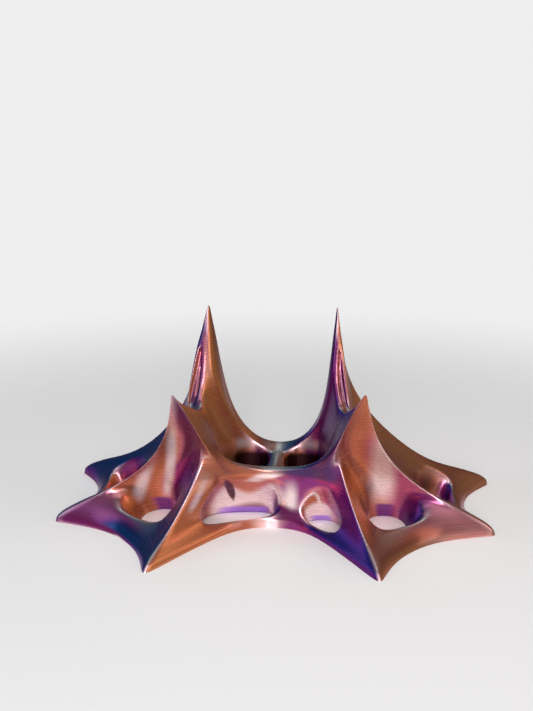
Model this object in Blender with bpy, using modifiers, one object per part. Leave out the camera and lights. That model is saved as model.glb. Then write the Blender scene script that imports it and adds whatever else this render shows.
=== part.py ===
"""One-piece spiky web stand that holds a game controller.

Eight feet, two horns in front and two posts behind are drawn as ridges.
Concave webs hang between the ridges and each web is pierced by a pocket that runs down to the table.
The cage is smoothed with Subdivision Surface and the bed plane is cut flat with a Boolean.
All sizes are in millimetres here and are turned into metres when the cage is built.
"""
import bpy
import bmesh

MM = 0.001
MERGE = 0.01 * MM        # points of the two halves that meet in the middle
COLLECTION = "controller_stand"
NODE = "stand_body"
SMOOTH_LEVELS = 2
BELOW = -4.0            # the cage is drawn down to here and cut off at the bed plane
EDGE_TOP = 2.0          # height of the upright edge along the scallops
HORN_TOP = 65.2
POST_TOP = 92.0
TIP_DOME = 0.6          # the blunt tips rise this much from their rims to their middles
FOOT_DEPTH = 86.0       # the front and rear feet reach this far from the middle, to either side
SIDE_REACH = 95.6
BACK_SIDE_REACH = 98.5
RIDGE_CREASE = 0.95
TIP_CREASE = 0.85
RIM_CREASE = 0.55
LIP_CREASE = 0.45
FOLD_CREASE = 0.5
GROUND_CREASE = 1.0

# Ridges of the left half, from the foot tip on the bed up to the horn or post tip.
FRONT_RIDGE = [(-45.7, -FOOT_DEPTH, BELOW), (-45.6, -FOOT_DEPTH + 1.0, 2.0), (-41.0, -68.0, 6.5),
               (-34.5, -51.5, 17.5), (-27.8, -36.5, 33.0), (-29.0, -49.5, 48.0), (-37.2, -56.5, HORN_TOP)]
SIDE_RIDGE = [(-SIDE_REACH, -32.0, BELOW), (-SIDE_REACH + 0.8, -32.0, 3.4), (-82.0, -31.0, 10.2),
              (-66.0, -30.0, 16.5), (-50.5, -32.0, 28.5), (-41.5, -40.0, 47.0), (-38.8, -55.5, HORN_TOP)]
BACK_SIDE_RIDGE = [(-BACK_SIDE_REACH, 34.0, BELOW), (-BACK_SIDE_REACH + 1.0, 33.5, 3.8), (-84.0, 23.5, 11.0),
                   (-68.0, 14.0, 16.5), (-50.2, 5.0, 31.0), (-35.2, -3.0, 56.0), (-31.8, 3.0, POST_TOP)]
REAR_RIDGE = [(-45.7, FOOT_DEPTH, BELOW), (-45.6, FOOT_DEPTH - 1.0, 2.0), (-41.0, 67.0, 6.5),
              (-34.5, 49.0, 18.0), (-28.5, 30.0, 34.0), (-28.0, 14.0, 58.0), (-29.8, 5.0, POST_TOP)]

# Webs between the ridges: columns of the same seven levels.
FRONT_WEB = [
    [(0.0, -30.5, BELOW), (0.0, -30.5, EDGE_TOP), (1.0, -31.2, 5.0), (3.0, -28.5, 12.5),
     (-0.5, -29.5, 20.5), (0.0, -31.0, 22.8), (0.0, -31.0, 25.0)],
    [(-14.0, -33.0, BELOW), (-14.0, -33.0, EDGE_TOP), (-13.5, -30.5, 6.0), (-13.0, -28.5, 12.0),
     (-12.5, -28.5, 18.0), (-12.5, -31.5, 24.0), (-13.0, -32.5, 27.0)],
    [(-26.0, -50.0, BELOW), (-26.0, -50.0, EDGE_TOP), (-25.5, -45.5, 6.5), (-24.0, -40.0, 13.0),
     (-22.5, -36.5, 20.0), (-22.3, -38.0, 28.4), (-23.4, -39.8, 32.8)],
]
POCKET_WEB = [
    [(-50.5, -65.0, BELOW), (-50.5, -65.0, EDGE_TOP), (-44.5, -50.5, 8.2), (-37.5, -28.0, 15.0),
     (-32.5, -27.0, 31.0), (-32.0, -46.6, 48.0), (-37.5, -55.8, HORN_TOP + TIP_DOME)],
    [(-58.5, -51.5, BELOW), (-58.5, -51.5, EDGE_TOP), (-53.5, -43.5, 8.0), (-47.0, -18.0, 14.5),
     (-39.0, -24.0, 31.0), (-36.0, -44.4, 48.0), (-38.0, -55.2, HORN_TOP + TIP_DOME)],
    [(-70.0, -39.0, BELOW), (-70.0, -39.0, EDGE_TOP), (-66.0, -37.0, 9.4), (-61.0, -22.0, 16.0),
     (-46.5, -27.0, 30.0), (-39.6, -41.5, 47.5), (-38.5, -55.2, HORN_TOP + TIP_DOME)],
]
SIDE_WEB = [
    [(-86.0, -20.0, BELOW), (-86.0, -20.0, EDGE_TOP), (-79.0, -18.5, 8.5), (-63.5, -20.5, 14.5),
     (-48.5, -22.0, 30.5), (-40.0, -31.5, 44.0), (-36.3, -38.0, 52.0)],
    [(-81.5, 0.0, BELOW), (-81.5, 0.0, EDGE_TOP), (-76.0, -1.5, 7.0), (-59.0, -4.0, 17.5),
     (-44.5, -10.5, 30.0), (-37.5, -18.5, 42.0), (-35.2, -25.0, 49.2)],
    [(-86.0, 19.0, BELOW), (-86.0, 19.0, EDGE_TOP), (-79.0, 14.0, 8.5), (-65.0, 9.0, 17.5),
     (-48.0, -1.0, 31.0), (-40.5, -9.0, 43.0), (-39.3, -15.0, 48.0)],
]
REAR_POCKET_WEB = [
    [(-71.0, 39.5, BELOW), (-71.0, 39.5, EDGE_TOP), (-66.0, 34.0, 8.0), (-57.0, 19.5, 15.0),
     (-45.0, 13.0, 32.0), (-33.8, 6.5, 57.0), (-31.2, 4.6, POST_TOP + TIP_DOME)],
    [(-54.0, 57.5, BELOW), (-54.0, 57.5, EDGE_TOP), (-51.5, 48.0, 8.0), (-45.0, 27.5, 15.0),
     (-36.5, 20.0, 32.0), (-30.5, 11.0, 57.0), (-30.4, 5.4, POST_TOP + TIP_DOME)],
]
REAR_WEB = [
    [(-24.0, 47.0, BELOW), (-24.0, 47.0, EDGE_TOP), (-22.5, 41.0, 7.0), (-21.5, 33.0, 14.0),
     (-20.5, 26.0, 24.0), (-21.0, 17.0, 34.0), (-23.8, 5.0, 45.0)],
    [(-12.0, 33.0, BELOW), (-12.0, 33.0, EDGE_TOP), (-11.5, 30.0, 6.0), (-11.5, 26.0, 12.0),
     (-11.5, 22.5, 18.0), (-11.5, 17.0, 23.5), (-12.0, 10.5, 27.3)],
    [(0.0, 30.5, BELOW), (0.0, 30.5, EDGE_TOP), (0.0, 28.0, 6.0), (0.0, 24.5, 11.0),
     (0.0, 21.0, 16.0), (0.0, 16.0, 21.5), (0.0, 12.5, 23.6)],
]

# Inner edge of the rim, one point for each column that reaches the rim.
FOLD = {0: (0.0, -25.0, 26.0), 1: (-12.5, -27.0, 27.2), 2: (-22.6, -34.0, 33.2), 3: (-27.8, -41.5, 45.0),
        7: (-29.0, -35.0, 51.5), 8: (-29.3, -30.0, 50.5), 9: (-29.3, -23.0, 50.0), 10: (-30.8, -16.0, 51.5),
        11: (-30.2, -12.5, 62.0), 14: (-25.4, -11.0, 62.0), 15: (-22.4, -2.0, 42.0), 16: (-12.2, 6.0, 27.6),
        17: (0.0, 8.5, 23.8)}
# Mouth and foot of the pit on this side of the middle rib.
PIT_MOUTH = {1: (-10.0, -18.0, 20.5), 2: (-16.0, -19.5, 21.0), 3: (-19.0, -19.5, 23.0), 7: (-20.0, -17.5, 24.5),
             8: (-20.0, -14.5, 25.5), 9: (-19.8, -11.0, 26.0), 10: (-19.3, -7.0, 26.5), 11: (-18.8, -3.0, 26.8),
             14: (-17.8, 0.5, 27.0), 15: (-13.5, 3.0, 27.0), 16: (-7.0, 2.5, 25.5)}
RIB_MIDDLE = [(0.0, -16.5, 23.0), (0.0, -4.0, 24.0)]
RIB_SIDE = [(-4.5, -17.5, 21.5), (-3.1, -2.0, 23.0)]
PIT_FOOT_SCALE = (0.9, 0.5)
PIT_FOOT_BACK = 7.0     # the pit leans towards the rear as it goes down

# The right post stands nearer the middle than the left one: by this much at its inner edge, and by this share of the
# distance to it further out. That sets in between the two heights and the two depths.
POST_IN = 1.5
POST_IN_SHARE = 0.36
POST_INNER = 20.0
POST_IN_HEIGHTS = (33.0, 50.0)
POST_IN_DEPTHS = (-30.0, -15.0)

# The right horn is taller than the left one and leans further out; that sets in between the two heights.
HORN_UP = 2.0
HORN_OUT = 0.9
HORN_UP_HEIGHTS = (46.0, 64.0)

# The right front pocket lies nearer the middle than the left one, by this much at each level.
POCKET_IN = {3: 3.5, 4: 3.5, 5: 1.2}

# Groove down the front of each post: the rim columns that it spans, the ring of its mouth and the ring of its bed.
POST_GROOVE = {
    "columns": (9, 10, 11),
    "mouth": [(-36.6, -21.5, 48.9), (-37.8, -14.5, 52.0), (-33.6, -4.0, 76.0),
              (-31.9, -8.5, 70.0), (-32.4, -14.5, 56.0), (-33.4, -20.8, 49.6)],
    "bed": [(-35.8, -17.0, 50.5), (-36.4, -11.0, 54.0), (-33.2, -0.5, 74.0),
            (-32.4, -3.5, 69.0), (-33.2, -7.5, 57.0), (-33.8, -15.0, 51.5)],
}
GROOVE_CREASE = 0.5

COLUMNS = (FRONT_WEB + [FRONT_RIDGE] + POCKET_WEB + [SIDE_RIDGE] + SIDE_WEB
           + [BACK_SIDE_RIDGE] + REAR_POCKET_WEB + [REAR_RIDGE] + REAR_WEB)
RIDGE_COLUMNS = (3, 7, 11, 14)
POCKET_COLUMNS = (4, 5, 6)
RIM_COLUMNS = (0, 1, 2, 3, 7, 8, 9, 10, 11, 14, 15, 16, 17)
TIP_CAPS = ((3, 4, 5, 6, 7), (11, 12, 13, 14))
SHARED_COLUMNS = (0, 17)   # these lie near the middle and belong to both halves
TOP = 6

# Each tunnel: the ring of cage points around its mouth, then where that ring stands part way down and at the bed.
POCKET_TUNNEL = {
    "mouth": [(4, 2), (5, 2), (6, 2), (6, 3), (5, 3), (4, 3)],
    "foot": [(-41.5, -40.0), (-47.5, -35.5), (-55.0, -31.0), (-56.0, -15.5), (-48.0, -9.0), (-39.0, -14.5)],
}
SIDE_TUNNEL = {
    "mouth": [(8, 2), (9, 2), (10, 2), (10, 3), (9, 3), (8, 3)],
    "foot": [(-74.5, -13.0), (-73.0, -1.5), (-74.5, 10.0), (-63.5, 9.0), (-60.5, -2.5), (-63.0, -14.0)],
}
REAR_TUNNEL = {
    "mouth": [(12, 2), (13, 2), (13, 3), (12, 3)],
    "foot": [(-63.0, 30.0), (-50.0, 41.5), (-45.5, 22.0), (-57.0, 15.0)],
}
WIDE_EYE = {
    "mouth": [(0, 2), (1, 2), (2, 2), (2, 3), (2, 4), (1, 4), (0, 4), (0, 3)],
    "creases": [0.75, 0.45, 0.45, 0.8, 0.85, 0.3, 0.0, 0.6],
    "shape": [None, (-14.5, -33.5, 4.2), (-30.0, -46.0, 5.0), (-28.5, -44.0, 12.5),
              (-20.0, -38.5, 25.5), (-12.5, -31.0, 21.5), None, None],
    "middle": [(0.0, -27.5, 2.5), (-14.0, -29.0, 2.2), (-29.0, -42.0, 2.6), (-31.5, -33.0, 8.0),
               (-27.0, -20.0, 12.0), (-14.0, -18.0, 11.5), (-1.5, -17.5, 11.0), (2.0, -23.0, 8.0)],
    "foot": [(-0.5, -25.8), (-14.0, -27.5), (-28.5, -39.5), (-32.0, -30.0),
             (-30.5, -16.0), (-14.0, -11.5), (-1.5, -10.5), (1.0, -19.0)],
}
SMALL_EYE = {
    "mouth": [(1, 2), (2, 2), (2, 3), (2, 4), (1, 4), (1, 3)],
    "creases": [0.8] * 6,
    "shape": [(-16.5, -34.5, 3.4), (-27.5, -46.0, 3.4), (-31.0, -46.0, 11.0), (-24.0, -39.0, 21.5),
              (-20.0, -36.0, 21.0), (-10.5, -30.5, 9.5)],
    "foot": [(-16.5, -31.0), (-26.0, -40.0), (-31.0, -33.0), (-29.0, -17.0), (-16.5, -16.5), (-12.5, -24.0)],
}


def share_between(value, limits):
    """0 up to the lower limit, 1 from the upper one and a straight rise between them."""
    low, high = limits
    return min(max((value - low) / (high - low), 0.0), 1.0)


class Half:
    """Cage of one side; side is -1 for the left and 1 for the right."""

    def __init__(self, bm, side):
        self.bm = bm
        self.side = side
        self.crease = bm.edges.layers.float.get("crease_edge") or bm.edges.layers.float.new("crease_edge")
        self.skin = {(c, l): self.vert(p, c in SHARED_COLUMNS)
                     for c, column in enumerate(COLUMNS) for l, p in enumerate(column)}
        self.fold = {c: self.vert(p, c in SHARED_COLUMNS) for c, p in FOLD.items()}
        if side > 0:
            for level, inward in POCKET_IN.items():
                for c in POCKET_COLUMNS:
                    self.skin[c, level].co.x -= inward * MM
        self.cells = {}
        self.rim = {}

    def place(self, point, shared=False):
        """The point in metres, mirrored on the right side unless both halves share it."""
        x, y, z = point
        if not shared and self.side > 0 and y < POST_IN_DEPTHS[0]:
            share = share_between(z, HORN_UP_HEIGHTS)
            x = -x + share * HORN_OUT
            z += share * HORN_UP
        elif not shared and self.side > 0:
            share = share_between(z, POST_IN_HEIGHTS) * share_between(y, POST_IN_DEPTHS)
            x = -x - share * (POST_IN + POST_IN_SHARE * (-x - POST_INNER))
        return (x * MM, y * MM, z * MM)

    def vert(self, point, shared=False):
        return self.bm.verts.new(self.place(point, shared))

    def face(self, *verts):
        return self.bm.faces.new(verts)

    def sharpen(self, a, b, amount):
        edge = self.bm.edges.get((a, b))
        if edge is not None:
            edge[self.crease] = amount

    def build_skin(self):
        skin = self.skin
        for c in range(len(COLUMNS) - 1):
            for l in range(TOP):
                self.cells[c, l] = self.face(skin[c, l], skin[c + 1, l], skin[c + 1, l + 1], skin[c, l + 1])
        for cap in TIP_CAPS:
            self.face(*(skin[c, TOP] for c in cap))
        for a, b in zip(RIM_COLUMNS, RIM_COLUMNS[1:]):
            self.rim[a, b] = self.face(skin[a, TOP], skin[b, TOP], self.fold[b], self.fold[a])

    def build_pit(self):
        mouth = {c: self.vert(p) for c, p in PIT_MOUTH.items()}
        columns = list(PIT_MOUTH)
        for a, b in zip(columns, columns[1:]):
            self.face(self.fold[a], self.fold[b], mouth[b], mouth[a])
        front, back = (self.vert(p) for p in RIB_SIDE)
        near, far = (self.vert(p, shared=True) for p in RIB_MIDDLE)
        self.face(self.fold[0], self.fold[1], mouth[1], front)
        self.face(self.fold[0], front, near)
        self.face(near, front, back, far)
        self.face(far, back, self.fold[17])
        self.face(self.fold[17], back, mouth[16], self.fold[16])
        ring = [mouth[c] for c in columns] + [back, front]
        points = list(PIT_MOUTH.values()) + [RIB_SIDE[1], RIB_SIDE[0]]
        centre = [sum(p[k] for p in points) / len(points) for k in (0, 1)]
        foot = [(centre[0] + (x - centre[0]) * PIT_FOOT_SCALE[0],
                 centre[1] + (y - centre[1]) * PIT_FOOT_SCALE[1] + PIT_FOOT_BACK) for x, y, _ in points]
        self.run_down(ring, None, foot)

    def run_down(self, mouth, middle, foot, creases=None):
        """Walls of a tunnel from the ring round its mouth down past the bed."""
        rings = [mouth]
        if middle:
            rings.append([self.vert(p) for p in middle])
        rings.append([self.vert((x, y, BELOW)) for x, y in foot])
        for upper, lower in zip(rings, rings[1:]):
            for i in range(len(upper)):
                self.face(upper[i - 1], upper[i], lower[i], lower[i - 1])
        for i in range(len(mouth)):
            self.sharpen(mouth[i - 1], mouth[i], creases[i] if creases else LIP_CREASE)
            self.sharpen(rings[-1][i - 1], rings[-1][i], GROUND_CREASE)

    def tunnel(self, spec):
        mouth = spec["mouth"]
        low, high = min(l for _, l in mouth), max(l for _, l in mouth)
        first, last = min(c for c, _ in mouth), max(c for c, _ in mouth)
        faces = [self.cells.pop((c, l)) for c in range(first, last) for l in range(low, high)]
        bmesh.ops.delete(self.bm, geom=faces, context="FACES_ONLY")
        for key, point in zip(mouth, spec.get("shape", ())):
            if point:
                self.skin[key].co = self.place(point)
        ring = [self.skin[key] for key in mouth]
        self.run_down(ring, spec.get("middle"), spec["foot"], spec.get("creases"))

    def groove(self, spec):
        columns = spec["columns"]
        faces = [self.rim.pop(pair) for pair in zip(columns, columns[1:])]
        bmesh.ops.delete(self.bm, geom=faces, context="FACES_ONLY")
        edge = [self.skin[c, TOP] for c in columns] + [self.fold[c] for c in reversed(columns)]
        mouth = [self.vert(p) for p in spec["mouth"]]
        bed = [self.vert(p) for p in spec["bed"]]
        for upper, lower in ((edge, mouth), (mouth, bed)):
            for i in range(len(edge)):
                self.face(upper[i - 1], upper[i], lower[i], lower[i - 1])
        self.face(*bed)
        for i in range(len(edge)):
            self.sharpen(mouth[i - 1], mouth[i], GROOVE_CREASE)

    def set_creases(self):
        skin = self.skin
        for c in RIDGE_COLUMNS:
            self.sharpen(skin[c, 0], skin[c, 1], TIP_CREASE)
            for l in range(1, TOP):
                self.sharpen(skin[c, l], skin[c, l + 1], RIDGE_CREASE)
        for c in range(len(COLUMNS) - 1):
            self.sharpen(skin[c, 0], skin[c + 1, 0], GROUND_CREASE)
            self.sharpen(skin[c, 1], skin[c + 1, 1], 0.3)
        for a, b in ((2, 3), (3, 7), (7, 8), (8, 9), (9, 10), (10, 11), (11, 14)):
            self.sharpen(self.fold[a], self.fold[b], FOLD_CREASE)
        for a, b in ((0, 1), (1, 2), (7, 8), (8, 9), (9, 10), (10, 11), (14, 15), (15, 16), (16, 17)):
            self.sharpen(skin[a, TOP], skin[b, TOP], RIM_CREASE)


def build_cage():
    bm = bmesh.new()
    for side in (-1, 1):
        half = Half(bm, side)
        half.build_skin()
        half.build_pit()
        half.set_creases()
        half.tunnel(POCKET_TUNNEL)
        half.tunnel(SIDE_TUNNEL)
        half.tunnel(REAR_TUNNEL)
        half.tunnel(WIDE_EYE if side < 0 else SMALL_EYE)
        half.groove(POST_GROOVE)
    bmesh.ops.delete(bm, geom=[e for e in bm.edges if not e.link_faces], context="EDGES")
    bmesh.ops.delete(bm, geom=[v for v in bm.verts if not v.link_faces], context="VERTS")
    bmesh.ops.remove_doubles(bm, verts=bm.verts, dist=MERGE)
    rim = [e for e in bm.edges if len(e.link_faces) == 1]
    bmesh.ops.triangle_fill(bm, edges=rim, use_beauty=True)
    bmesh.ops.recalc_face_normals(bm, faces=bm.faces)
    return bm


def main():
    for obj in list(bpy.data.objects):
        bpy.data.objects.remove(obj, do_unlink=True)
    collection = bpy.data.collections.new(COLLECTION)
    bpy.context.scene.collection.children.link(collection)
    cutters = bpy.data.collections.new("cutters")
    bpy.context.scene.collection.children.link(cutters)

    bm = build_cage()
    mesh = bpy.data.meshes.new(NODE)
    bm.to_mesh(mesh)
    bm.free()
    stand = bpy.data.objects.new(NODE, mesh)
    collection.objects.link(stand)

    smooth = stand.modifiers.new("Smooth webs", "SUBSURF")
    smooth.levels = SMOOTH_LEVELS
    smooth.render_levels = SMOOTH_LEVELS

    block_mesh = bpy.data.meshes.new("bed_block")
    block_bm = bmesh.new()
    bmesh.ops.create_cube(block_bm, size=1.0)
    bmesh.ops.scale(block_bm, vec=(0.4, 0.4, 0.05), verts=block_bm.verts)
    bmesh.ops.translate(block_bm, vec=(0.0, 0.0, -0.025), verts=block_bm.verts)
    block_bm.to_mesh(block_mesh)
    block_bm.free()
    block = bpy.data.objects.new("bed_block", block_mesh)
    block.hide_render = True
    block.display_type = "WIRE"
    cutters.objects.link(block)
    flat = stand.modifiers.new("Flat underside", "BOOLEAN")
    flat.operation = "DIFFERENCE"
    flat.solver = "EXACT"
    flat.object = block

    material = bpy.data.materials.new("silk_filament")
    material.use_nodes = True
    shader = material.node_tree.nodes["Principled BSDF"]
    shader.inputs["Base Color"].default_value = (0.32, 0.09, 0.22, 1.0)
    shader.inputs["Metallic"].default_value = 0.6
    shader.inputs["Roughness"].default_value = 0.32
    mesh.materials.append(material)


main()
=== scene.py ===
"""Finish, light and camera for the printed spiky stand.

The stand is printed in a two-colour silk filament: one half of every bead is copper, the other is purple.
So a wall's colour follows the side that it faces, from blue and purple at the left to copper at the right.
Lengths are in metres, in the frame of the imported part, and the finish is laid out in millimetres there.
"""

import math

import bmesh
import bpy
from mathutils import Matrix, Vector


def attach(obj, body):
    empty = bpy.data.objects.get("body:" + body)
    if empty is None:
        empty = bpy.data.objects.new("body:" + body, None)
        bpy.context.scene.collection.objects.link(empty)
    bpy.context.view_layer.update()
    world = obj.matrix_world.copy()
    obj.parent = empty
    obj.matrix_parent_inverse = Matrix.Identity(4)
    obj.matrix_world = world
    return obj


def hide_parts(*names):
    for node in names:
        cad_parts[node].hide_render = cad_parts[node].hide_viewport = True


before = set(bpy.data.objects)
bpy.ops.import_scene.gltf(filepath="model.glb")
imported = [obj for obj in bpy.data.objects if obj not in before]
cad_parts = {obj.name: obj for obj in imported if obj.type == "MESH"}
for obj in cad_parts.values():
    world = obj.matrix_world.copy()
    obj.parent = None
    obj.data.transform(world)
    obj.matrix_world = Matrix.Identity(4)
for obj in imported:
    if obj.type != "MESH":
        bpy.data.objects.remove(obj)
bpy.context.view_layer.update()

NODE = "stand_body"
MM = 0.001
MERGE = 0.002 * MM               # corners of packed triangles closer than this are one point
JOIN_BEND = math.radians(40)     # most that two triangles of one quad bend against each other
JOIN_SKEW = math.radians(70)     # most that a quad's corners are off square
CREASE_ANGLE = math.radians(38)  # edges of the underside that turn more than this stay crisp
FINE_LEVELS = 2
# Outward-turning edges get a painted highlight along the ridge; this layer holds how far they turn.
RIDGE_LAYER = "ridge"
RIDGE_FROM = math.radians(18)    # an edge that turns outward by this begins to shine as a ridge
RIDGE_FULL = math.radians(60)    # and by this shines fully

FLOOR_SIZE = 12
FLOOR_COLOUR = (0.72, 0.71, 0.705, 1)
FLOOR_FADE = (0.16, 0.46)        # from the stand's middle, where the floor fades into the background
ROOM_COLOUR = (0.78, 0.79, 0.82, 1)
ROOM_STRENGTH = 0.15
BACKGROUND_COLOUR = (0.86, 0.86, 0.86, 1)

# Camera, read off the photograph, with its azimuth and elevation in degrees.
CAMERA_AZIMUTH = 4.99
CAMERA_ELEVATION = 13.49
CAMERA_PLACE = (39.27 * MM, -507.6 * MM, 189.9 * MM)
FOCAL_IN_HEIGHTS = 1200 / 711
SENSOR = 24.0                    # height in millimetres, the unit of the camera's focal length too


class Socket:
    """Output of a shader node that takes part in plain arithmetic."""

    def __init__(self, tree, out):
        self.tree = tree
        self.out = out

    def math(self, operation, *values):
        return self.tree.node("ShaderNodeMath", {"operation": operation}, dict(enumerate(values)))

    def __add__(self, other):
        return self.math("ADD", self, other)

    __radd__ = __add__

    def __sub__(self, other):
        return self.math("SUBTRACT", self, other)

    def __rsub__(self, other):
        return self.math("SUBTRACT", other, self)

    def __mul__(self, other):
        return self.math("MULTIPLY", self, other)

    __rmul__ = __mul__

    def __truediv__(self, other):
        return self.math("DIVIDE", self, other)

    def power(self, exponent):
        return self.math("POWER", self, exponent)

    def size(self):
        return self.math("ABSOLUTE", self)

    def between(self, low, high):
        """0 below low, 1 above high and a smooth rise from one to the other."""
        settings = {"interpolation_type": "SMOOTHSTEP"}
        limits = {"Value": self, "From Min": low, "From Max": high}
        return self.tree.node("ShaderNodeMapRange", settings, limits)

    def below(self, low, high):
        """1 below low, 0 above high and a smooth fall from one to the other."""
        return 1.0 - self.between(low, high)

    def within(self, low, full, last, high):
        """A smooth rise from low to full, and a smooth fall from last to high."""
        return self.between(low, full) * self.below(last, high)

    def bell(self, width):
        """1 where the value is 0, and a smooth fall to 0 at width on either side."""
        return self.size().below(0.0, width)

    def up_to(self, limit):
        return self.math("MINIMUM", self, limit)


class Tree:
    """Node tree of one material."""

    def __init__(self, name):
        self.material = bpy.data.materials.new(name)
        self.material.use_nodes = True
        self.nodes = self.material.node_tree.nodes
        self.links = self.material.node_tree.links
        self.shader = self.nodes["Principled BSDF"]

    def node(self, kind, settings, inputs, output=0):
        """Adds a node: its settings first, then its socket values or links. Gives one of its outputs."""
        made = self.nodes.new(kind)
        for name, value in settings.items():
            if name == "stops":
                self.set_stops(made.color_ramp, value)
            else:
                setattr(made, name, value)
        self.feed(made, inputs)
        return Socket(self, made.outputs[output])

    def feed(self, node, inputs):
        for name, value in inputs.items():
            if isinstance(value, Socket):
                self.links.new(value.out, node.inputs[name])
            else:
                node.inputs[name].default_value = value

    def set_stops(self, ramp, stops):
        ramp.elements.remove(ramp.elements[1])
        ramp.elements[0].position = stops[0][0]
        ramp.elements[0].color = (*stops[0][1], 1)
        for place, colour in stops[1:]:
            ramp.elements.new(place).color = (*colour, 1)

    def ramp(self, value, stops, interpolation="EASE"):
        """Colour that runs through the stops as value goes from -1 to 1."""
        at = [((place + 1) / 2, colour) for place, colour in stops]
        made = self.node("ShaderNodeValToRGB", {"stops": at}, {"Fac": value * 0.5 + 0.5})
        made.out.node.color_ramp.interpolation = interpolation
        return made

    def mix(self, factor, one, other, blend="MIX"):
        """Lays colour other over colour one: not at all where factor is 0, and fully where it is 1."""
        inputs = {0: factor}
        for slot, colour in ((6, one), (7, other)):
            inputs[slot] = colour if isinstance(colour, Socket) else (*colour, 1)
        return self.node("ShaderNodeMix", {"data_type": "RGBA", "blend_type": blend}, inputs, 2)

    def part(self, vector, axis):
        return self.node("ShaderNodeSeparateXYZ", {}, {0: vector}, "XYZ".index(axis))


# Colours of overhanging walls, upright walls, leaning walls, slopes and level crests.
# Each place is how far a face looks right (1) or left (-1).
# The overhanging walls' colours are lighter and pinker than the bead's: a painted reflection of the floor
# below.
UNDER_COLOURS_WITH_REFLECTION = [
    (-1.0, (0.30, 0.12, 0.30)),
    (-0.78, (0.60, 0.28, 0.38)),
    (-0.50, (0.48, 0.09, 0.18)),
    (-0.20, (0.62, 0.18, 0.22)),
    (0.0, (0.66, 0.22, 0.13)),
    (0.25, (0.54, 0.16, 0.07)),
    (0.60, (0.52, 0.17, 0.10)),
    (1.0, (0.36, 0.12, 0.07)),
]
UPRIGHT_COLOURS = [
    (-1.0, (0.08, 0.025, 0.14)),
    (-0.80, (0.14, 0.010, 0.13)),
    (-0.60, (0.29, 0.035, 0.16)),
    (-0.40, (0.24, 0.035, 0.19)),
    (-0.20, (0.25, 0.038, 0.16)),
    (0.0, (0.47, 0.145, 0.155)),
    (0.20, (0.48, 0.16, 0.095)),
    (0.40, (0.43, 0.125, 0.067)),
    (0.60, (0.40, 0.13, 0.065)),
    (0.80, (0.38, 0.115, 0.045)),
    (1.0, (0.75, 0.33, 0.18)),
]
WALL_COLOURS = [
    (-1.0, (0.022, 0.006, 0.10)),
    (-0.80, (0.092, 0.005, 0.155)),
    (-0.55, (0.15, 0.013, 0.09)),
    (-0.30, (0.18, 0.016, 0.11)),
    (-0.10, (0.22, 0.045, 0.13)),
    (0.08, (0.34, 0.11, 0.16)),
    (0.25, (0.53, 0.20, 0.20)),
    (0.50, (0.70, 0.30, 0.22)),
    (0.75, (0.59, 0.20, 0.075)),
    (1.0, (0.43, 0.16, 0.04)),
]
SLOPE_COLOURS = [
    (-0.85, (0.07, 0.055, 0.50)),
    (-0.62, (0.006, 0.013, 0.19)),
    (-0.46, (0.007, 0.006, 0.107)),
    (-0.28, (0.185, 0.045, 0.15)),
    (0.0, (0.19, 0.058, 0.095)),
    (0.25, (0.275, 0.10, 0.11)),
    (0.45, (0.36, 0.097, 0.056)),
    (0.75, (0.70, 0.245, 0.085)),
    (1.0, (0.76, 0.28, 0.06)),
]
CREST_COLOURS = [
    (-0.7, (0.006, 0.035, 0.16)),
    (-0.35, (0.004, 0.105, 0.22)),
    (-0.18, (0.095, 0.135, 0.19)),
    (0.0, (0.36, 0.39, 0.38)),
    (0.16, (0.21, 0.108, 0.085)),
    (0.45, (0.31, 0.19, 0.145)),
    (0.8, (0.26, 0.10, 0.06)),
]
# Painted highlights: pale pink on steep walls and along ridges.
SILK_SHINE = (1.0, 0.84, 0.82)
RIDGE_SHINE = (0.92, 0.66, 0.72)
LAYER_SHEEN = (0.85, 0.62, 0.66)
SPECULAR_TINT = (0.70, 0.45, 0.60, 1)
RIGHT_DULL = (0.45, 0.50, 0.62)
LEFT_BLUE = (0.001, 0.040, 0.15)
# Painted shade, deep purple, inside the left pockets.
POCKET_SHADE_PURPLE = (0.05, 0.003, 0.055)
# Painted shade under the front rim, brown on the left and blue on the right.
RIM_SHADE_BROWN = (0.27, 0.085, 0.045)
RIM_SHADE_BLUE = (0.035, 0.030, 0.10)
PIT_SHADE = (0.05, 0.03, 0.02)
# Painted shade of a groove at the back of the wide opening.
GROOVE_SHADE_MAROON = (0.06, 0.002, 0.012)
FOOT_LILAC = (0.42, 0.22, 0.75)
FOOT_PURPLE = (0.14, 0.02, 0.24)

# Upright bands of painted highlight on the walls, and a lens of painted groove shade, in millimetres:
# x of the band's middle line at the bed, how far that line moves right for each millimetre up,
# and half the band's width.
LEFT_POCKET_HIGHLIGHT = (-48.4, 0.17, 3.4)
LEFT_EDGE_HIGHLIGHT = (-62.4, 0.35, 4.2)
LEFT_WEB_HIGHLIGHT = (-38.0, 0.45, 2.6)
RIGHT_POCKET_HIGHLIGHT = (46.5, 0.0, 8.0)
MIDDLE_WEB_HIGHLIGHT = (8.0, 0.0, 4.5)
GROOVE_LENS = (-17.4, -0.08, 2.0)
GROOVE_HEIGHT = 14.5             # millimetres from the bed to the middle of the lens
GROOVE_HALF_LENGTH = 8.5

# Layers lie flat, so their pattern is fine along Z and long in the other two directions.
LAYER_SCALE = (14.0, 14.0, 2600.0)
LAYER_BUMP = 0.1 * MM


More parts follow.
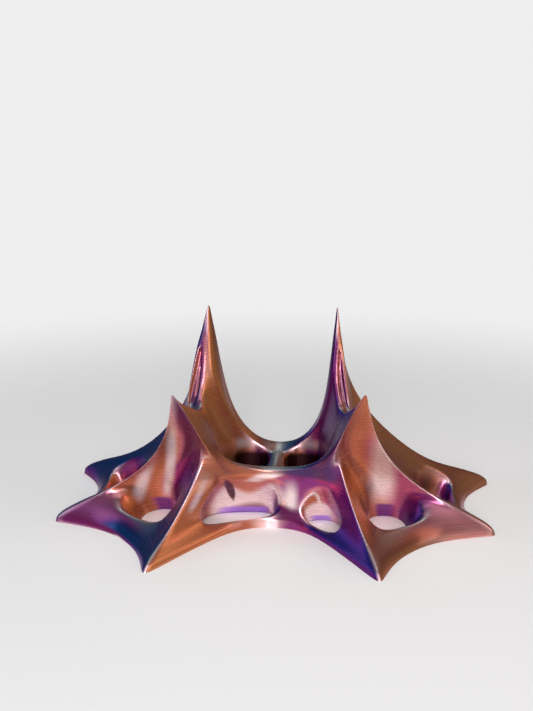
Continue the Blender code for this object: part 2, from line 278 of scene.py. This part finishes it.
class Surface:
    """Where a point of the stand is, in millimetres, and which way it faces, all as sockets.

    side is -1 where the face looks left and 1 where it looks right, and rise the same for down and up.
    The others are masks: front for faces that look to the front, head_on for those that don't also turn
    left or right, left, right and middle for those parts of the stand, and web for the front web.
    """

    def __init__(self, tree):
        self.place = tree.node("ShaderNodeTexCoord", {}, {}, "Object")
        self.x, self.y, self.z = (tree.part(self.place, axis) / MM for axis in "XYZ")
        normal = tree.node("ShaderNodeNewGeometry", {}, {}, "Normal")
        self.side = tree.part(normal, "X")
        self.rise = tree.part(normal, "Z")
        self.front = (tree.part(normal, "Y") * -1.0).between(0.25, 0.75)
        self.head_on = self.front * self.side.size().below(0.25, 0.65)
        self.left = (self.x * -1.0).between(18, 30)
        self.right = self.x.between(18, 34)
        self.middle = self.x.size().below(22, 34)
        self.web = self.y.below(-29, -27)

    def off_line(self, mark):
        """Distance from the mark's middle line, in millimetres."""
        foot, lean, _ = mark
        return (self.x - foot - self.z * lean).size()

    def streak(self, mark):
        """1 on the mark's middle line and 0 outside the mark."""
        return self.off_line(mark).below(0.0, mark[2])


def bead_and_reflection_colours(tree, at):
    """Copper to purple by the side that a face looks to, with a ramp for each steepness.
    On overhanging walls the ramp is lighter, a painted reflection of the floor below them.
    """
    under = tree.ramp(at.side, UNDER_COLOURS_WITH_REFLECTION)
    upright = tree.ramp(at.side, UPRIGHT_COLOURS)
    wall = tree.ramp(at.side, WALL_COLOURS)
    slope = tree.ramp(at.side, SLOPE_COLOURS)
    crest = tree.ramp(at.side, CREST_COLOURS)
    colour = tree.mix(at.rise.between(-0.40, -0.15), under, upright)
    colour = tree.mix(at.rise.between(0.0, 0.25), colour, wall)
    colour = tree.mix(at.rise.between(0.25, 0.65), colour, slope)
    return tree.mix(at.rise.between(0.80, 0.97), colour, crest)


def tint_sides_and_shade(tree, at, colour):
    """Duller brown on the right foot, greener blue on the left foot, and painted shade: deep purple
    on the downward-facing right-hand walls inside the left pockets.
    """
    right_foot = at.x.between(34, 48) * at.side.between(0.35, 0.6) * at.rise.between(-0.20, 0.0)
    colour = tree.mix(right_foot * 0.9, colour, RIGHT_DULL, "MULTIPLY")
    leftward = at.side * -1.0
    left_foot = (at.x * -1.0).between(20, 40) * leftward.between(0.36, 0.5) * at.rise.between(0.35, 0.55)
    colour = tree.mix(left_foot * 0.9, colour, LEFT_BLUE)
    # Painted shade: the left pockets' right-hand walls turn deep purple where they face down.
    shaded_inner_side = at.x.between(-41, -37) * leftward.between(0.1, 0.4) * at.rise.below(-0.35, -0.1)
    return tree.mix(at.left * shaded_inner_side * 0.75, colour, POCKET_SHADE_PURPLE)


def pocket_highlights(at):
    """Painted highlights: two in the left pockets, one on the web beside them
    and a broad one in the right pockets.
    """
    inner = at.streak(LEFT_POCKET_HIGHLIGHT) * at.z.between(4, 14) * (1.0 - at.z.between(34, 50) * 0.75)
    outer = at.streak(LEFT_EDGE_HIGHLIGHT) * (1.0 - at.z.between(16, 30) * 0.5)
    beside = at.streak(LEFT_WEB_HIGHLIGHT) * at.z.within(11, 16, 24, 28) * at.web
    broad = at.streak(RIGHT_POCKET_HIGHLIGHT) * at.z.between(2, 20) * (1.0 - at.z.between(32, 50) * 0.8)
    return at.left * (inner + outer + beside * 0.8) + at.right * broad * 1.2


def middle_highlights(at):
    """Painted highlights on the back of the front openings, the wall over the pits, and the web's brow,
    hump and lower lip.
    """
    lowered = at.z + (at.x + 11.0).bell(12) * 8.0
    behind = at.y.within(-31, -28, -17, -14) * lowered.below(16, 22)
    over_pits = at.y.within(-14, -6, 4, 6) * (at.z - 27.0).bell(4)
    brow = at.side.bell(0.12)
    hump = at.streak(MIDDLE_WEB_HIGHLIGHT) * at.z.within(4, 8, 14, 24)
    lip = (at.side - 0.08).bell(0.36) * at.z.below(3, 7)
    return at.middle * (behind + over_pits * 0.45 + at.web * (brow + hump * 0.9 + lip * 0.42))


def paint_shine_and_rim_shade(tree, at, colour):
    """Painted highlights on ridges and where a steep wall looks at the front lamp.
    Under the rim, painted shade in brown and blue.
    """
    steep = at.rise.below(0.05, 0.35) * at.front
    # Painted highlights: bands where steep walls look to the front, lightened towards pale pink.
    streaks = (pocket_highlights(at) + middle_highlights(at)) * steep
    colour = tree.mix(streaks.up_to(0.86), colour, SILK_SHINE)
    # Painted highlight along ridges that look to the front.
    ridge = tree.node("ShaderNodeAttribute", {"attribute_name": RIDGE_LAYER}, {}, "Fac")
    colour = tree.mix(ridge.power(2.0) * at.head_on * 0.75, colour, RIDGE_SHINE)
    # Painted shade on the web under the rim: brown on the left, blue on the right.
    rim = at.web * at.middle * at.z.between(23, 25) * at.rise.below(0.5, 0.8)
    return tree.mix(rim * 0.85, colour, tree.mix(at.x.between(-2, 8), RIM_SHADE_BROWN, RIM_SHADE_BLUE))


def tint_tunnels_and_groove_shade(tree, at, colour):
    """Painted shade of a groove that is not modelled, a dark red lens down the back of the wide opening,
    and lilac feet on the tunnels' front-facing walls.
    """
    # Painted shade of a groove: a dark red lens.
    across = at.off_line(GROOVE_LENS) / GROOVE_LENS[2]
    along = (at.z - GROOVE_HEIGHT).size() / GROOVE_HALF_LENGTH
    lens = (across.power(1.6) + along.power(2.0)).below(0.5, 1.1) * at.y.within(-36, -35, -16, -15)
    colour = tree.mix(lens * 0.95, colour, GROOVE_SHADE_MAROON)
    pocket = at.x.size().between(30, 36)
    inside = at.y.between(-32, -29) * at.x.size().below(58, 62)
    foot = inside * (at.z - pocket * 3.5).below(2.6, 4.2) * at.head_on
    return tree.mix(foot * 0.85, colour, tree.mix(pocket, FOOT_LILAC, FOOT_PURPLE))


def silk_filament():
    tree = Tree("silk_filament")
    at = Surface(tree)
    pit = at.x.size().within(1.5, 5, 18, 22) * at.y.within(-17, -13, 8, 11) * at.z.below(21.5, 25)
    colour = bead_and_reflection_colours(tree, at)
    colour = tint_sides_and_shade(tree, at, colour)
    colour = paint_shine_and_rim_shade(tree, at, colour)
    colour = tree.mix(pit, colour, PIT_SHADE, "MULTIPLY")
    colour = tint_tunnels_and_groove_shade(tree, at, colour)

    flat = tree.node("ShaderNodeVectorMath", {"operation": "MULTIPLY"}, {0: at.place, 1: LAYER_SCALE})
    line = tree.node("ShaderNodeTexNoise", {}, {"Vector": flat, "Scale": 1.0, "Detail": 1.0})
    colour = tree.mix(line.between(0.35, 0.7) * 0.16, colour, LAYER_SHEEN, "SOFT_LIGHT")
    bump = tree.node("ShaderNodeBump", {}, {"Strength": 0.25, "Distance": LAYER_BUMP, "Height": line})
    tree.feed(tree.shader, {
        "Base Color": colour,
        "Roughness": line * 0.12 + 0.22 + pit * 0.4,
        "Coat Weight": 0.1 - pit * 0.1,
        "Coat Roughness": 0.18,
        "Metallic": 0.7,
        "Anisotropic": 0.7,
        "Anisotropic Rotation": 0.25,
        "Specular Tint": SPECULAR_TINT,
        "Normal": bump,
    })
    return tree.material


def fine_stand():
    """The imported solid's mesh again, in smooth quads that stay crisp around the flat underside."""
    bm = bmesh.new()
    bm.from_mesh(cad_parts[NODE].data)
    bmesh.ops.remove_doubles(bm, verts=bm.verts, dist=MERGE)
    bmesh.ops.join_triangles(bm, faces=bm.faces, angle_face_threshold=JOIN_BEND,
                             angle_shape_threshold=JOIN_SKEW)
    crease = bm.edges.layers.float.new("crease_edge")
    for edge in bm.edges:
        on_bed = all(vert.co.z < MERGE for vert in edge.verts)
        if on_bed and edge.is_manifold and edge.calc_face_angle() > CREASE_ANGLE:
            edge[crease] = 1.0
    ridge = bm.verts.layers.float.new(RIDGE_LAYER)
    for vert in bm.verts:
        turns = [edge.calc_face_angle_signed() for edge in vert.link_edges if edge.is_manifold]
        vert[ridge] = min(1.0, max(0.0, max(turns) - RIDGE_FROM) / (RIDGE_FULL - RIDGE_FROM))
    for face in bm.faces:
        face.smooth = True
    mesh = bpy.data.meshes.new("stand")
    bm.to_mesh(mesh)
    bm.free()
    stand = bpy.data.objects.new("stand", mesh)
    bpy.context.scene.collection.objects.link(stand)
    smooth = stand.modifiers.new("Fine surface", "SUBSURF")
    smooth.levels = FINE_LEVELS
    smooth.render_levels = FINE_LEVELS
    stand.data.materials.append(silk_filament())
    return stand


def floor():
    bpy.ops.mesh.primitive_plane_add(size=FLOOR_SIZE)
    plane = bpy.context.object
    plane.name = "floor"
    tree = Tree("pale_floor")
    place = tree.node("ShaderNodeTexCoord", {}, {}, "Object")
    reach = tree.node("ShaderNodeVectorMath", {"operation": "LENGTH"}, {0: place}, "Value")
    seen = reach.below(*FLOOR_FADE)
    tree.feed(tree.shader, {"Base Color": FLOOR_COLOUR, "Roughness": 0.9, "Alpha": seen})
    plane.data.materials.append(tree.material)


def away_from_stand(azimuth, elevation):
    """Direction at these angles in degrees; azimuth 0 is in front of the stand and 90 at its right."""
    a, e = math.radians(azimuth), math.radians(elevation)
    return Vector((math.sin(a) * math.cos(e), -math.cos(a) * math.cos(e), math.sin(e)))


def softbox(name, azimuth, elevation, distance, width, height, power, colour=(1, 1, 1)):
    """Rectangular lamp that looks at the middle of the stand."""
    lamp = bpy.data.lights.new(name, "AREA")
    lamp.shape = "RECTANGLE"
    lamp.size = width
    lamp.size_y = height
    lamp.energy = power
    lamp.color = colour
    obj = bpy.data.objects.new(name, lamp)
    bpy.context.scene.collection.objects.link(obj)
    away = away_from_stand(azimuth, elevation)
    obj.location = away * distance
    obj.rotation_euler = away.to_track_quat("Z", "Y").to_euler()


def light():
    softbox("front", 4, 14, 1.4, 0.30, 1.5, 31.0)
    softbox("left", -75, 30, 1.5, 0.7, 0.9, 3.5, (0.90, 0.94, 1.0))
    softbox("right", 80, 30, 1.5, 0.7, 0.9, 3.5, (1.0, 0.96, 0.92))
    softbox("top", 15, 70, 1.5, 1.0, 1.0, 8.0)
    softbox("behind", 180, 55, 1.6, 1.2, 0.8, 4.0)
    world = bpy.data.worlds.new("studio")
    bpy.context.scene.world = world
    world.use_nodes = True
    nodes, links = world.node_tree.nodes, world.node_tree.links
    room = nodes["Background"]
    room.inputs["Color"].default_value = ROOM_COLOUR
    room.inputs["Strength"].default_value = ROOM_STRENGTH
    seen = nodes.new("ShaderNodeBackground")
    seen.inputs["Color"].default_value = BACKGROUND_COLOUR
    path = nodes.new("ShaderNodeLightPath")
    either = nodes.new("ShaderNodeMixShader")
    links.new(path.outputs["Is Camera Ray"], either.inputs["Fac"])
    links.new(room.outputs[0], either.inputs[1])
    links.new(seen.outputs[0], either.inputs[2])
    links.new(either.outputs[0], nodes["World Output"].inputs["Surface"])


def camera():
    data = bpy.data.cameras.new("camera")
    data.sensor_fit = "VERTICAL"
    data.sensor_height = SENSOR
    data.lens = SENSOR * FOCAL_IN_HEIGHTS
    data.clip_start = 10 * MM
    obj = bpy.data.objects.new("camera", data)
    bpy.context.scene.collection.objects.link(obj)
    back = away_from_stand(CAMERA_AZIMUTH, CAMERA_ELEVATION)
    right = away_from_stand(CAMERA_AZIMUTH + 90, 0)
    turn = Matrix((right, back.cross(right), back)).transposed().to_4x4()
    obj.matrix_world = Matrix.Translation(CAMERA_PLACE) @ turn
    bpy.context.scene.camera = obj


bpy.context.scene.view_settings.view_transform = "Standard"
camera()
light()
floor()
stand = fine_stand()
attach(stand, "root")
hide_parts(NODE)
